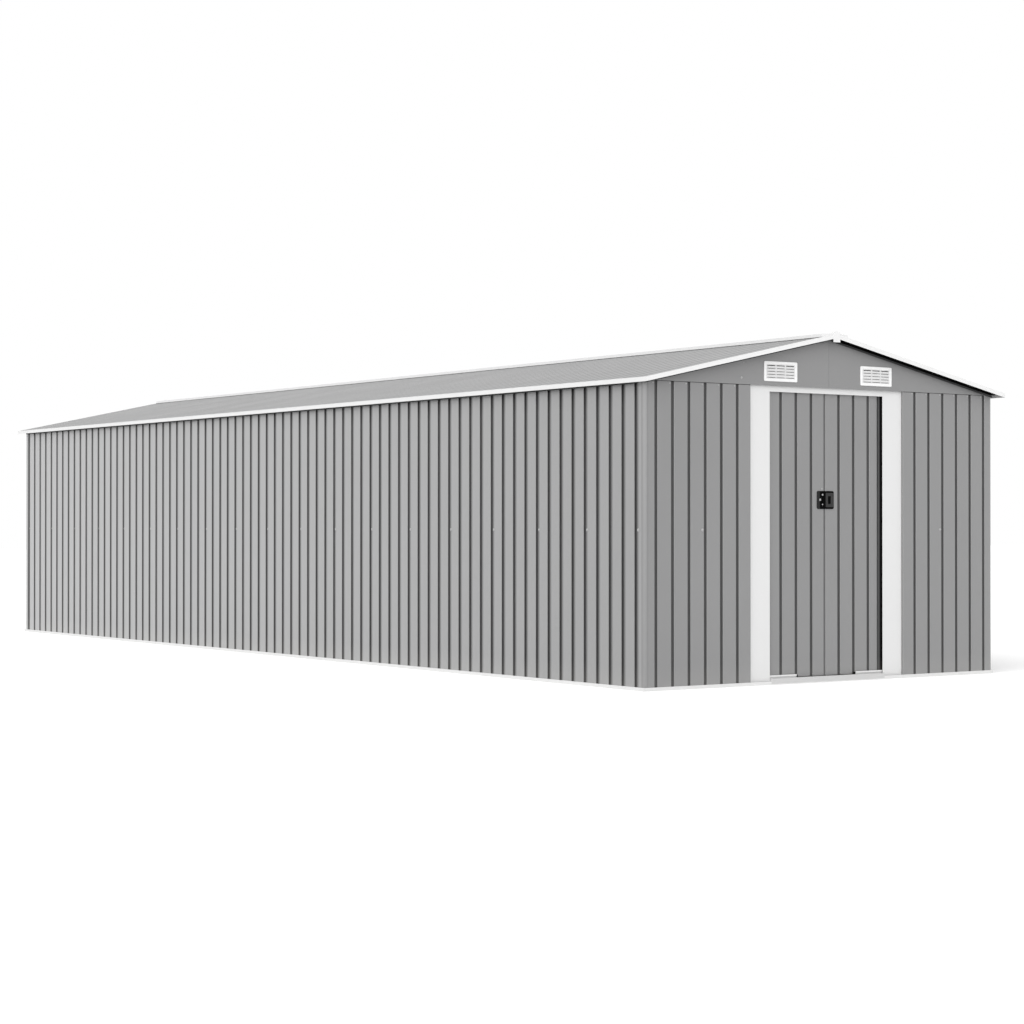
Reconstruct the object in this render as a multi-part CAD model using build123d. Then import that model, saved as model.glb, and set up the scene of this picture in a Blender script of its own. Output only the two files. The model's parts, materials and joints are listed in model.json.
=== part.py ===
from build123d import *
from math import atan2, hypot, tan
import os

# A long ribbed steel storage shed with a low gable roof and two sliding door leaves.
# Millimetres, +Z up. It stands on z = 0, centred on x = 0 and y = 0, with its doorway facing -Y.

# Wall sheets: narrow vertical grooves at one pitch, four pitches to a panel
rib_pitch = 104.0
ribs_per_panel = 4
side_panels = 18
rear_panels = 4
corner_ribs = 3
side_corner_flat = 71.0
front_corner_flat = 72.0
wall_width = 2418.0
groove_mouth = 20.0
groove_floor = 13.0
groove_depth = 10.0
skin = 1.2
corner_radius = 26.0
wall_top = 1521.0
seat_gap = 0.3

# Base rails: channels that the sheets stand in
rail_wall = 1.5
base_height = 18.0
foot_width = 20.0
side_rail_pieces = 6
corner_rail_run = 150.0

# Upper and middle rails inside the walls
top_rail_depth = 48.0
top_shelf_drop = 9.0
top_shelf_width = 50.0
rear_shelf_width = 20.0
mid_rail_height = 786.0
mid_rail_size = 36.0
mid_rail_depth = 11.0
rail_lip_inset = 3.0

# Roof
side_overhang = 35.0
end_overhang = 60.0
eave_rise = 8.0
roof_rise = 265.5
trim_height = 22.5
trim_lip = 12.0
eave_lip = 4.0
ridge_gap = 40.0
cap_half_width = 90.0
cap_lip = 18.0
cap_rise = 4.0
cap_end_width = 46.0
cap_end_rise = 12.0
cap_end_drop = 21.0
cap_end_proud = 3.0
ridge_beam_width = 40.0
ridge_beam_depth = 60.0
purlin_place = 620.0
purlin_width = 30.0
purlin_depth = 40.0

# Gables and their vents
gable_lap = 3.0
gable_drop = 27.0
gable_toe = 2.0
gable_rail_width = 20.0
gable_rail_depth = 36.0
gable_corner_cut = 14.0
vent_width = 223.0
vent_height = 102.0
vent_lift = 21.0
vent_centre = 332.0
vent_proud = 5.0
vent_frame = 14.0
vent_columns = 3
vent_rows = 5
slot_height = 6.0
slot_bar = 8.0
vent_hole_inset = 8.0

# Doorway
doorway_half = 393.0
post_width = 137.0
post_recess = 12.0
lintel_depth = 33.0
front_lap = 3.0

# Door leaves, closed at x = 0
leaf_gap = 1.5
leaf_inset = 13.0
stile_overlap = 20.0
leaf_first_groove = 96.0
leaf_setback = 28.0
leaf_depth = 20.0
leaf_lift = 2.0
slide_height = 14.0
leaf_rail_size = 30.0
door_travel = 325.0
track_spare = 12.0
track_clearance = 5.0
track_leg = 22.0
slide_length = 60.0
slide_inset = 28.0
sill_rise = 14.0
guide_rib = 2.0
guide_rib_drop = 4.0
guide_length = 50.0
guide_reach = 14.0
guide_width = 14.0
guide_inset = 10.0
lip_start = 206.0
lip_rise = 15.0
lip_foot = 5.0

# Pulls
pull_width = 56.0
pull_height = 93.0
pull_centre = 940.0
pull_proud = 5.0
pull_corner = 9.0
pocket_near = 20.0
pocket_width = 12.0
pocket_height = 40.0
pocket_depth = 4.0

half_width = wall_width / 2
wall_length = side_panels * ribs_per_panel * rib_pitch + 2 * side_corner_flat
half_length = wall_length / 2
sheet_depth = groove_depth + skin
behind_sheet = sheet_depth + seat_gap
eave_half = half_width + side_overhang
roof_half = half_length + end_overhang
eave_height = wall_top + eave_rise
sill_front_height = base_height + sill_rise
leaf_bottom = sill_front_height + leaf_lift
guide_rib_height = sill_front_height - guide_rib_drop
guide_low = leaf_bottom - guide_reach
lip_height = sill_front_height + lip_rise
ridge_height = eave_height + roof_rise
slope = roof_rise / eave_half
panel_bottom = rail_wall + seat_gap
top_shelf_height = wall_top - top_shelf_drop
gable_bottom = wall_top - gable_lap
vent_bottom = gable_bottom + vent_lift
track_top = top_shelf_height - rail_wall - seat_gap
leaf_top = track_top - rail_wall - 2 * seat_gap - slide_height
leaf_far = doorway_half - leaf_inset
stile_far = doorway_half + stile_overlap
track_reach = stile_far + door_travel + track_spare
beam_end = half_length - gable_rail_width - seat_gap
return_back = -half_length + leaf_setback - track_clearance - rail_wall - seat_gap


def prism_z(points, low, high):
    outline = make_face(Polyline(*points, close=True))
    return Pos(0, 0, low) * extrude(outline, amount=high - low, dir=(0, 0, 1))


def prism_y(points, low, high):
    outline = Plane.XZ * make_face(Polyline(*points, close=True))
    return Pos(0, low, 0) * extrude(outline, amount=high - low, dir=(0, 1, 0))


def prism_x(points, low, high):
    outline = Plane.YZ * make_face(Polyline(*points, close=True))
    return Pos(low, 0, 0) * extrude(outline, amount=high - low, dir=(1, 0, 0))


def block(low, high):
    size = [b - a for a, b in zip(low, high)]
    middle = [(a + b) / 2 for a, b in zip(low, high)]
    return Pos(*middle) * Box(*size)


def to_left(solid):
    return mirror(solid, about=Plane.YZ)


def to_rear(solid):
    return mirror(solid, about=Plane.XZ)


def groove_line(start, end, grooves, inner):
    # One face of a ribbed sheet as (along, depth) points; an end on a groove stops on its floor
    mouth, floor = groove_mouth / 2, groove_floor / 2
    spread = skin * tan(atan2(groove_depth, mouth - floor) / 2) if inner else 0
    top = skin if inner else 0

    def depth_at(place):
        return top + (groove_depth if any(abs(place - g) < floor for g in grooves) else 0)

    points = [(start, depth_at(start))]
    for g in grooves:
        wall = [(g - mouth - spread, top), (g - floor - spread, top + groove_depth)]
        wall += [(g + floor + spread, top + groove_depth), (g + mouth + spread, top)]
        points += [p for p in wall if start < p[0] < end]
    return points + [(end, depth_at(end))]


def sheet_outline(start, end, grooves):
    return groove_line(start, end, grooves, False) + groove_line(start, end, grooves, True)[::-1]


def groove_row(first, count, pitch=rib_pitch):
    return [first + pitch * i for i in range(count)]


def panel_row(first, panels, pitch=rib_pitch):
    # (start, end, grooves) of each panel; neighbours meet on the floor of the groove they share
    rows = []
    for i in range(panels):
        start = first + i * ribs_per_panel * pitch
        grooves = groove_row(start, ribs_per_panel + 1, pitch)
        rows.append((grooves[0] + seat_gap / 2, grooves[-1] - seat_gap / 2, grooves))
    return rows


# Roof surface: heights at a distance x from the ridge line
def roof_top(x):
    return eave_height - rail_wall - seat_gap + slope * (eave_half - abs(x))


def roof_under(x):
    return roof_top(x) - sheet_depth


def base_ring(outside, inside, low, high):
    def slab(reach):
        x, y = half_width + reach, half_length + reach
        return block((-x, -y, low), (x, y, high))

    return slab(outside) - slab(inside)


def base_rails():
    outer_leg = seat_gap + rail_wall
    inner_leg = -behind_sheet - rail_wall
    ring = base_ring(outer_leg, inner_leg - foot_width, 0, rail_wall)
    ring += base_ring(outer_leg, seat_gap, 0, base_height)
    ring += base_ring(-behind_sheet, inner_leg, 0, base_height)
    reach = half_width + 2 * outer_leg
    run_end = half_length - corner_rail_run
    far = half_length + 2 * outer_leg
    jamb = doorway_half + seat_gap
    front_right = ring & block((jamb, -far, 0), (reach, -run_end - seat_gap / 2, base_height))
    rear = ring & block((-reach, run_end + seat_gap / 2, 0), (reach, far, base_height))
    step = 2 * run_end / side_rail_pieces
    right = []
    for i in range(side_rail_pieces):
        low = -run_end + i * step + seat_gap / 2
        right.append(ring & block((0, low, 0), (reach, low + step - seat_gap, base_height)))
    return front_right, rear, right


def corner_panel():
    # Front right corner: one sheet bent round the corner, from groove to groove
    ribs = groove_row(front_corner_flat, corner_ribs + 1)
    front_end = ribs[-1] - seat_gap / 2
    bend = corner_radius

    def front_point(along, depth):
        return (half_width - along, -half_length + depth)

    centre = (half_width - bend, -half_length + bend)
    lines = []
    for inner in (False, True):
        radius = bend - skin if inner else bend
        side_end = side_corner_flat - seat_gap / 2
        front = [front_point(*p) for p in groove_line(bend, front_end, ribs, inner)][::-1]
        side_rows = groove_line(bend, side_end, [side_corner_flat], inner)
        side = [(half_width - depth, -half_length + along) for along, depth in side_rows]
        lines.append((front, CenterArc(centre, radius, -90, 90), side))
    (front_a, arc_a, side_a), (front_b, arc_b, side_b) = lines
    edges = [Polyline(*front_a), arc_a, Polyline(*side_a), Line(side_a[-1], side_b[-1])]
    edges += [Polyline(*side_b), arc_b, Polyline(*front_b), Line(front_a[0], front_b[0])]
    return Pos(0, 0, panel_bottom) * extrude(make_face(edges), amount=wall_top - panel_bottom, dir=(0, 0, 1))


def side_wall():
    # Right wall, as separate panels
    panels = []
    for start, end, grooves in panel_row(side_corner_flat, side_panels):
        points = [(half_width - d, -half_length + u) for u, d in sheet_outline(start, end, grooves)]
        panels.append(prism_z(points, panel_bottom, wall_top))
    return panels


def rear_wall():
    run = 2 * (half_width - front_corner_flat - corner_ribs * rib_pitch)
    pitch = run / (rear_panels * ribs_per_panel)
    panels = []
    for start, end, grooves in panel_row(-run / 2, rear_panels, pitch):
        points = [(u, half_length - d) for u, d in sheet_outline(start, end, grooves)]
        panels.append(prism_z(points, panel_bottom, wall_top))
    return panels


def front_panel():
    # Right of the doorway, from the corner panel to the post, with its edge turned in at the post
    last = half_width - front_corner_flat - corner_ribs * rib_pitch
    edge = doorway_half + post_width + seat_gap
    grooves = [last - rib_pitch * i for i in (2, 1, 0)]
    points = [(u, -half_length + d) for u, d in sheet_outline(edge, last - seat_gap / 2, grooves)]
    sheet = prism_z(points, panel_bottom, wall_top)
    flange_back = -half_length + post_recess + front_lap
    flange = block((edge, -half_length, base_height + seat_gap), (edge + skin, flange_back, wall_top))
    return sheet + flange


def mid_rails():
    low, high = mid_rail_height - mid_rail_size / 2, mid_rail_height + mid_rail_size / 2
    near = half_width - behind_sheet
    end = half_length - behind_sheet
    inside = near - mid_rail_depth

    def channel(place, inner, wall=rail_wall):
        # A shallow channel with its open side to the sheet, as (across, height)
        sign = 1 if place > inner else -1
        return [(place, low), (inner, low), (inner, high), (place, high), (place, high - wall),
                (inner + sign * wall, high - wall), (inner + sign * wall, low + wall), (place, low + wall)]

    right = prism_y(channel(near, inside), -end + mid_rail_depth + seat_gap, end - mid_rail_depth - seat_gap)
    rear = prism_x(channel(end, end - mid_rail_depth), -near, near)
    post_side = doorway_half + post_width + seat_gap + skin + seat_gap
    front = prism_x(channel(-end, -end + mid_rail_depth), post_side, near)
    return right, rear, front


def top_rails():
    near = half_width - behind_sheet
    inner = near - rail_wall
    end = half_length - behind_sheet
    top_rail_low = wall_top - top_rail_depth
    lip = eave_half - rail_wall - seat_gap - rail_lip_inset

    def flange(x, drop):
        return roof_under(x) - seat_gap - drop

    side = [(inner, top_rail_low), (near, top_rail_low), (near, flange(near, rail_wall)),
            (lip, flange(lip, rail_wall)), (lip, flange(lip, 0)), (inner, flange(inner, 0))]
    right = prism_y(side, -end + rail_wall + seat_gap, end - rail_wall - seat_gap)
    shelf = top_shelf_height

    def end_rail(shelf_width):
        web, tip = -end + rail_wall, -end + shelf_width
        return [(-end, top_rail_low), (-end, wall_top), (web, wall_top), (web, shelf), (tip, shelf),
                (tip, shelf - rail_wall), (web, shelf - rail_wall), (web, top_rail_low)]

    post_side = doorway_half + post_width + seat_gap + skin + seat_gap
    reach = inner - seat_gap
    front = prism_x(end_rail(top_shelf_width), post_side, reach)
    rear = to_rear(prism_x(end_rail(rear_shelf_width), -reach, reach))
    return right, front, rear


# Roof pieces
def roof_sheets():
    # Right slope: ribbed sheets whose grooves run from the ridge to the eave
    outer = eave_half - rail_wall - seat_gap
    end = roof_half - rail_wall - seat_gap
    first = -half_length + side_corner_flat
    end_groove = first - rib_pitch
    rows = [(-end, first - seat_gap / 2, [end_groove, first])]
    rows += panel_row(first, side_panels)
    rows += [(-first + seat_gap / 2, end, [-first, -end_groove])]
    sheets = []
    run = outer - ridge_gap
    slant = hypot(run, run * slope)
    for start, stop, grooves in rows:
        points = [(u, roof_top(ridge_gap) - d) for u, d in sheet_outline(start, stop, grooves)]
        outline = Plane.YZ * make_face(Polyline(*points, close=True))
        sheets.append(Pos(ridge_gap, 0, 0) * extrude(outline, amount=slant, dir=(1, 0, -slope)))
    return sheets


def roof_timber(place, width, depth):
    # A beam under the roof whose top follows the slope
    low, high = place - width / 2, place + width / 2
    bottom = roof_under(high) - seat_gap - depth
    web = low + rail_wall

    def top(x):
        return roof_under(x) - seat_gap

    points = [(low, bottom), (high, bottom), (high, top(high)), (low, top(low))]
    inner = [(web, bottom + rail_wall), (high, bottom + rail_wall), (high, top(high) - rail_wall),
             (web, top(web) - rail_wall)]
    return prism_y(points, -beam_end, beam_end) - prism_y(inner, -beam_end, beam_end)


def ridge_beam():
    half = ridge_beam_width / 2
    top = roof_under(ridge_gap) - seat_gap
    head = roof_under(half + ridge_gap) - seat_gap
    low = head - ridge_beam_depth
    wing = half + ridge_gap
    lip = head - rail_wall
    points = [(-half, low), (half, low), (half, lip), (wing, lip), (wing, head), (ridge_gap, top),
              (-ridge_gap, top), (-wing, head), (-wing, lip), (-half, lip)]
    hollow = [(-half + rail_wall, low + rail_wall), (half - rail_wall, low + rail_wall),
              (half - rail_wall, head - rail_wall), (-half + rail_wall, head - rail_wall)]
    return prism_y(points, -beam_end, beam_end) - prism_y(hollow, -beam_end, beam_end)


def gable_rail():
    # Front right angle rail that the roof sheets rest on, just behind the top of the gable
    near = seat_gap / 2
    far = half_width - gable_corner_cut
    floor = wall_top + seat_gap

    def top(x):
        return roof_under(x) - seat_gap

    bend = far - (floor + gable_rail_depth - top(far)) / slope
    web = [(near, top(near)), (far, top(far)), (far, floor), (bend, floor),
           (near, top(near) - gable_rail_depth)]
    flange = [(near, top(near)), (far, top(far)), (far, top(far) - rail_wall), (near, top(near) - rail_wall)]
    rail = prism_y(web, -half_length, -half_length + rail_wall)
    return rail + prism_y(flange, -half_length, -half_length + gable_rail_width)


def eave_trim():
    face = eave_half
    inside = face - rail_wall
    low = eave_height - trim_height
    lip = face - eave_lip
    lip_top = eave_height + slope * eave_lip
    points = [(face, low), (face, eave_height), (lip, lip_top), (lip, lip_top - rail_wall),
              (inside, eave_height + slope * rail_wall - rail_wall), (inside, low)]
    end = roof_half - rail_wall - seat_gap
    return prism_y(points, -end, end)


def rake_trim():
    # Front right edge of the roof
    near = seat_gap / 2
    lip_end = eave_half - eave_lip - seat_gap

    def band(far, high, low, depth):
        line = [(x, ridge_height - slope * x + high) for x in (near, far)]
        line += [(x, ridge_height - slope * x + low) for x in (far, near)]
        return prism_y(line, -roof_half, -roof_half + depth)

    trim = band(eave_half, 0, -trim_height, rail_wall)
    trim += band(lip_end, 0, -rail_wall, trim_lip)
    return trim


def ridge_cap():
    half = cap_half_width
    inner = half - rail_wall
    foot = roof_top(inner) + seat_gap
    lip = foot + cap_lip
    apex = ridge_height + cap_rise
    rise = (apex - lip) / half
    inner_lip = lip - rail_wall + rise * rail_wall
    points = [(-half, foot), (-half, lip), (0, apex), (half, lip), (half, foot), (inner, foot),
              (inner, inner_lip), (0, apex - rail_wall), (-inner, inner_lip), (-inner, foot)]
    end = roof_half - trim_lip - seat_gap
    # Both ends are closed down to the roof sheets
    closure = [(-half, foot), (-half, lip), (0, apex), (half, lip), (half, foot), (0, ridge_height + seat_gap)]
    cap = prism_y(points, -end, end)
    cap += prism_y(closure, -end, -end + rail_wall)
    cap += prism_y(closure, end - rail_wall, end)
    return cap


def ridge_end():
    # A small cover clipped over the meeting rake trims, front
    half = cap_end_width / 2
    top = ridge_height + cap_end_rise
    low = ridge_height - trim_height - cap_end_drop
    back = -roof_half + trim_lip
    front = -roof_half - cap_end_proud
    points = [(-half, low), (-half, top - slope * half), (0, top), (half, top - slope * half), (half, low)]
    cover = prism_y(points, front, back)
    # The seat follows the tops of the trims
    under = ridge_height + seat_gap
    reach = cap_end_width
    side = under - slope * reach
    seat = [(-reach, side), (0, under), (reach, side), (reach, wall_top), (-reach, wall_top)]
    return cover - prism_y(seat, -roof_half - seat_gap, back + seat_gap)


def gable_half():
    # Front right half of a gable, standing just proud of the wall sheets
    near = seat_gap / 2

    def top(x):
        return roof_top(x) - gable_drop

    toe = near + (top(near) - gable_bottom - gable_toe) / slope
    points = [(near, gable_bottom), (toe, gable_bottom), (toe, gable_bottom + gable_toe), (near, top(near))]
    sheet = prism_y(points, -half_length - seat_gap - skin, -half_length - seat_gap)
    hole_half = vent_width / 2 - vent_hole_inset
    hole_low = (vent_centre - hole_half, -half_length - 2 * skin, vent_bottom + vent_hole_inset)
    hole_high = (vent_centre + hole_half, -half_length, vent_bottom + vent_height - vent_hole_inset)
    return sheet - block(hole_low, hole_high)


def vent():
    # Front right louvre: a frame with rows of slots
    face = -half_length - seat_gap - skin - seat_gap - vent_proud
    back = face + vent_proud
    left = vent_centre - vent_width / 2
    plate = block((left, face, vent_bottom), (left + vent_width, back, vent_bottom + vent_height))
    slot_width = (vent_width - 2 * vent_frame - (vent_columns - 1) * slot_bar) / vent_columns
    rise = (vent_height - 2 * vent_frame - slot_height) / (vent_rows - 1)
    for column in range(vent_columns):
        x = left + vent_frame + column * (slot_width + slot_bar)
        for row in range(vent_rows):
            z = vent_bottom + vent_frame + row * rise
            plate -= block((x, face - vent_proud, z), (x + slot_width, back + vent_proud, z + slot_height))
    return plate


# Doorway pieces
def door_post():
    inner, outer = doorway_half, doorway_half + post_width
    face = -half_length + post_recess
    back = return_back
    points = [(inner, face), (outer, face), (outer, back), (outer - rail_wall, back),
              (outer - rail_wall, face + rail_wall), (inner, face + rail_wall)]
    return prism_z(points, base_height + seat_gap, wall_top)


def door_lintel():
    face = -half_length + post_recess
    back = return_back
    low, high = wall_top - lintel_depth, wall_top
    web = face + rail_wall
    points = [(face, low), (face, high), (back, high), (back, high - rail_wall), (web, high - rail_wall),
              (web, low + rail_wall), (back, low + rail_wall), (back, low)]
    reach = doorway_half - seat_gap
    return prism_x(points, -reach, reach)


def door_track():
    # Inverted channel that the tops of the leaves run in
    inner_front = -half_length + leaf_setback - track_clearance
    inner_back = -half_length + leaf_setback + leaf_depth + track_clearance
    top = track_top
    low = top - track_leg
    points = [(inner_front - rail_wall, low), (inner_front - rail_wall, top), (inner_back + rail_wall, top),
              (inner_back + rail_wall, low), (inner_back, low), (inner_back, top - rail_wall),
              (inner_front, top - rail_wall), (inner_front, low)]
    return prism_x(points, -track_reach, track_reach)


def door_sill():
    # Threshold between the posts, and the rib that guides the leaves
    middle = -half_length + leaf_setback + leaf_depth / 2
    plate_back = middle + leaf_depth
    plate_front = -half_length + behind_sheet + rail_wall + foot_width + seat_gap
    rib = guide_rib / 2
    sill = block((-track_reach, plate_front, 0), (track_reach, plate_back, rail_wall))
    sill += block((-track_reach, middle - rib, 0), (track_reach, middle + rib, guide_rib_height))
    front = -half_length - seat_gap - rail_wall
    tread_back = return_back - rail_wall - seat_gap
    step = [(front, 0), (front, sill_front_height), (tread_back, sill_front_height),
            (tread_back, sill_front_height - rail_wall), (front + rail_wall, sill_front_height - rail_wall),
            (front + rail_wall, rail_wall), (plate_front, rail_wall), (plate_front, 0)]
    sill += prism_x(step, -doorway_half, doorway_half)
    # The ends of the step are closed beside the posts
    closure = [(front, 0), (front, sill_front_height), (tread_back, sill_front_height), (tread_back, 0)]
    sill += prism_x(closure, -doorway_half, -doorway_half + rail_wall)
    sill += prism_x(closure, doorway_half - rail_wall, doorway_half)
    return sill


def track_lip():
    # Raised lip in front of the outer part of the right leaf
    back = return_back
    low = rail_wall + seat_gap
    front = back - rail_wall
    points = [(front, low), (front, lip_height), (back, lip_height), (back, low + rail_wall),
              (back + lip_foot, low + rail_wall), (back + lip_foot, low)]
    return prism_x(points, lip_start, doorway_half - seat_gap)


# Door leaf and what it carries, right leaf
def door_leaf():
    grooves = groove_row(leaf_first_groove, ribs_per_panel - 1)
    face = -half_length + leaf_setback
    points = [(u, face + d) for u, d in sheet_outline(leaf_gap, leaf_far, grooves)]
    leaf = prism_z(points, leaf_bottom, leaf_top)
    leaf += block((leaf_gap, face, leaf_bottom), (leaf_gap + skin, face + leaf_depth, leaf_top))
    leaf += block((leaf_far - skin, face, leaf_bottom), (leaf_far, face + leaf_depth, leaf_top))
    return leaf


def leaf_stile():
    # Dark channel along the outer edge, which stays behind the post
    near, far = leaf_far + seat_gap, stile_far
    face = -half_length + leaf_setback
    back = face + leaf_depth
    web, near_wall, far_wall = face + rail_wall, near + rail_wall, far - rail_wall
    points = [(near, face), (far, face), (far, back), (far_wall, back), (far_wall, web),
              (near_wall, web), (near_wall, back), (near, back)]
    return prism_z(points, leaf_bottom, leaf_top)


def leaf_rails():
    near, far = leaf_gap + skin + seat_gap, leaf_far - skin - seat_gap
    front = -half_length + leaf_setback + behind_sheet
    back = -half_length + leaf_setback + leaf_depth
    rails = []
    for low in (leaf_bottom, pull_centre - leaf_rail_size / 2, leaf_top - leaf_rail_size):
        rails.append(block((near, front, low), (far, back, low + leaf_rail_size)))
    return rails


def leaf_runners():
    # Slides on the top edge, inside the track, and forked guides astride the sill's rib
    inner_front = -half_length + leaf_setback - track_clearance + seat_gap
    inner_back = -half_length + leaf_setback + leaf_depth + track_clearance - seat_gap
    low = leaf_top + seat_gap
    runners = []
    for place in (leaf_gap + slide_inset, leaf_far - slide_inset - slide_length):
        high_end = (place + slide_length, inner_back, low + slide_height)
        runners.append(block((place, inner_front, low), high_end))
    middle = -half_length + leaf_setback + leaf_depth / 2
    high = leaf_bottom - seat_gap
    slot = guide_rib / 2 + seat_gap
    for place in (lip_start + guide_inset, leaf_far - slide_inset - guide_length):
        end = place + guide_length
        body = block((place, middle - guide_width / 2, guide_low), (end, middle + guide_width / 2, high))
        cut = block((place, middle - slot, guide_low), (end, middle + slot, guide_rib_height + seat_gap))
        runners.append(body - cut)
    return runners


def door_pull():
    near, far = leaf_gap, leaf_gap + pull_width
    low, high = pull_centre - pull_height / 2, pull_centre + pull_height / 2
    back = -half_length + leaf_setback - seat_gap
    face = back - pull_proud
    body = block((near, face, low), (far, back, high))
    far_edges = body.edges().filter_by(Axis.Y).group_by(Axis.X)[-1]
    body = fillet(far_edges, pull_corner)
    pocket = block((pocket_near, face, pull_centre - pocket_height / 2),
                   (pocket_near + pocket_width, face + pocket_depth, pull_centre + pocket_height / 2))
    return body - pocket


def build():
    base_front, base_rear, base_side = base_rails()
    mid_side, mid_rear, mid_front = mid_rails()
    top_side, top_front, top_rear = top_rails()
    side_sheets = side_wall()
    slope_sheets = roof_sheets()
    corner = corner_panel()
    front = front_panel()
    gable = gable_half()
    rail = gable_rail()
    louvre = vent()
    rake = rake_trim()
    cover = ridge_end()
    purlin = roof_timber(purlin_place, purlin_width, purlin_depth)
    leaf = door_leaf()
    rails = leaf_rails()
    runners = leaf_runners()
    stile = leaf_stile()
    pull = door_pull()
    return {
        "base_rails_side": [to_left(s) for s in base_side] + base_side,
        "base_rails_front": [to_left(base_front), base_front],
        "base_rail_rear": [base_rear],
        "corner_panel_front_left": [to_left(corner)],
        "corner_panel_front_right": [corner],
        "corner_panel_rear_left": [to_rear(to_left(corner))],
        "corner_panel_rear_right": [to_rear(corner)],
        "side_wall_left": [to_left(s) for s in side_sheets],
        "side_wall_right": side_sheets,
        "rear_wall": rear_wall(),
        "front_wall_left": [to_left(front)],
        "front_wall_right": [front],
        "mid_rails_side": [to_left(mid_side), mid_side],
        "mid_rail_rear": [mid_rear],
        "mid_rails_front": [to_left(mid_front), mid_front],
        "top_rails_side": [to_left(top_side), top_side],
        "top_rails_front": [to_left(top_front), top_front],
        "top_rail_rear": [top_rear],
        "gable_rails": [to_left(rail), rail, to_rear(to_left(rail)), to_rear(rail)],
        "front_gable": [to_left(gable), gable],
        "rear_gable": [to_rear(to_left(gable)), to_rear(gable)],
        "front_vents": [to_left(louvre), louvre],
        "rear_vents": [to_rear(to_left(louvre)), to_rear(louvre)],
        "roof_left": [to_left(s) for s in slope_sheets],
        "roof_right": slope_sheets,
        "ridge_beam": [ridge_beam()],
        "roof_purlins": [to_left(purlin), purlin],
        "eave_trims": [to_left(eave_trim()), eave_trim()],
        "rake_trims_front": [to_left(rake), rake],
        "rake_trims_rear": [to_rear(to_left(rake)), to_rear(rake)],
        "ridge_cap": [ridge_cap()],
        "ridge_ends": [cover, to_rear(cover)],
        "door_post_left": [to_left(door_post())],
        "door_post_right": [door_post()],
        "door_lintel": [door_lintel()],
        "door_track": [door_track()],
        "door_sill": [door_sill()],
        "track_lips": [to_left(track_lip()), track_lip()],
        "door_leaf_left": [to_left(leaf)],
        "door_leaf_right": [leaf],
        "leaf_rails_left": [to_left(s) for s in rails],
        "leaf_rails_right": rails,
        "leaf_runners_left": [to_left(s) for s in runners],
        "leaf_runners_right": runners,
        "leaf_stile_left": [to_left(stile)],
        "leaf_stile_right": [stile],
        "door_pull_left": [to_left(pull)],
        "door_pull_right": [pull],
    }


os.makedirs("parts", exist_ok=True)
for name, solids in build().items():
    export_step(Compound(children=[s for piece in solids for s in piece.solids()]), f"parts/{name}.step")
    print(name, len(solids))
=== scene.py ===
import bpy
import bmesh
import json
from math import cos, pi, radians, sin, tan
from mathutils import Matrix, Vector

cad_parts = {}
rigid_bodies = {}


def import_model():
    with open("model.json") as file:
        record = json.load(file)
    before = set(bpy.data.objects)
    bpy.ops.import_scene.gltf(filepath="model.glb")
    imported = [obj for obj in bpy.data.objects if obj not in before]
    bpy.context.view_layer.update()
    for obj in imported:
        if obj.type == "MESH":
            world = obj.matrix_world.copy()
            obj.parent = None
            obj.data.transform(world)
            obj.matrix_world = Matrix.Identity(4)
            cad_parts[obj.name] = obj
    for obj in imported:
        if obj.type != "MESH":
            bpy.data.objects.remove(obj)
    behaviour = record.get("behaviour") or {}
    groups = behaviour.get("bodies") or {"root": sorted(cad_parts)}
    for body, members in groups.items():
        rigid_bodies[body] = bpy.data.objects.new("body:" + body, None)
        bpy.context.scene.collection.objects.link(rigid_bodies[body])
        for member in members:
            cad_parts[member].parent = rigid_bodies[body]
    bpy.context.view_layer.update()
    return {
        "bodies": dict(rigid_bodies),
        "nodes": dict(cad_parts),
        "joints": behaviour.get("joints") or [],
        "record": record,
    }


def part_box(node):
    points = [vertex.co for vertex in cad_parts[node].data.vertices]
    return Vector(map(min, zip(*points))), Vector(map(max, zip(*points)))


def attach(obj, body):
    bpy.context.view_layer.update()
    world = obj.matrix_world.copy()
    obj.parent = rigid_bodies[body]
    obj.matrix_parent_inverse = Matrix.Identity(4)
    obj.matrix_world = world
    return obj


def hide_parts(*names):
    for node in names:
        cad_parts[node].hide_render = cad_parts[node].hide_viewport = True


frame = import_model()

scene = bpy.context.scene
scene.view_settings.view_transform = "Standard"

# The photograph's viewing angle, solved from the grooves of both walls
cameraSizes = {
    "place": (-8.0291, -12.496, 0.8088),
    "turn": 34.810,
    "rise": 0.338,
    "lens": 79.69,
    "sensor": 36.0,
}


def addCamera(sizes):
    data = bpy.data.cameras.new("photoCamera")
    data.lens = sizes["lens"]
    data.sensor_width = sizes["sensor"]
    camera = bpy.data.objects.new("photoCamera", data)
    camera.location = sizes["place"]
    camera.rotation_euler = (radians(90 + sizes["rise"]), 0, radians(-sizes["turn"]))
    scene.collection.objects.link(camera)
    scene.camera = camera


addCamera(cameraSizes)
print("camera placed")


def feedSocket(tree, value, socket):
    # A socket takes a plain value or another node's output
    if isinstance(value, bpy.types.NodeSocket):
        tree.links.new(value, socket)
    else:
        socket.default_value = value


def addMath(tree, operation, first, second):
    node = tree.nodes.new("ShaderNodeMath")
    node.operation = operation
    feedSocket(tree, first, node.inputs[0])
    feedSocket(tree, second, node.inputs[1])
    return node.outputs[0]


def addRange(tree, value, low, high, toLow, toHigh):
    node = tree.nodes.new("ShaderNodeMapRange")
    ends = {"From Min": low, "From Max": high, "To Min": toLow, "To Max": toHigh}
    for label, number in ends.items():
        feedSocket(tree, number, node.inputs[label])
    tree.links.new(value, node.inputs["Value"])
    return node.outputs["Result"]


def addScaled(tree, colour, factor):
    node = tree.nodes.new("ShaderNodeVectorMath")
    node.operation = "SCALE"
    tree.links.new(colour, node.inputs[0])
    tree.links.new(factor, node.inputs["Scale"])
    return node.outputs[0]


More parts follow.
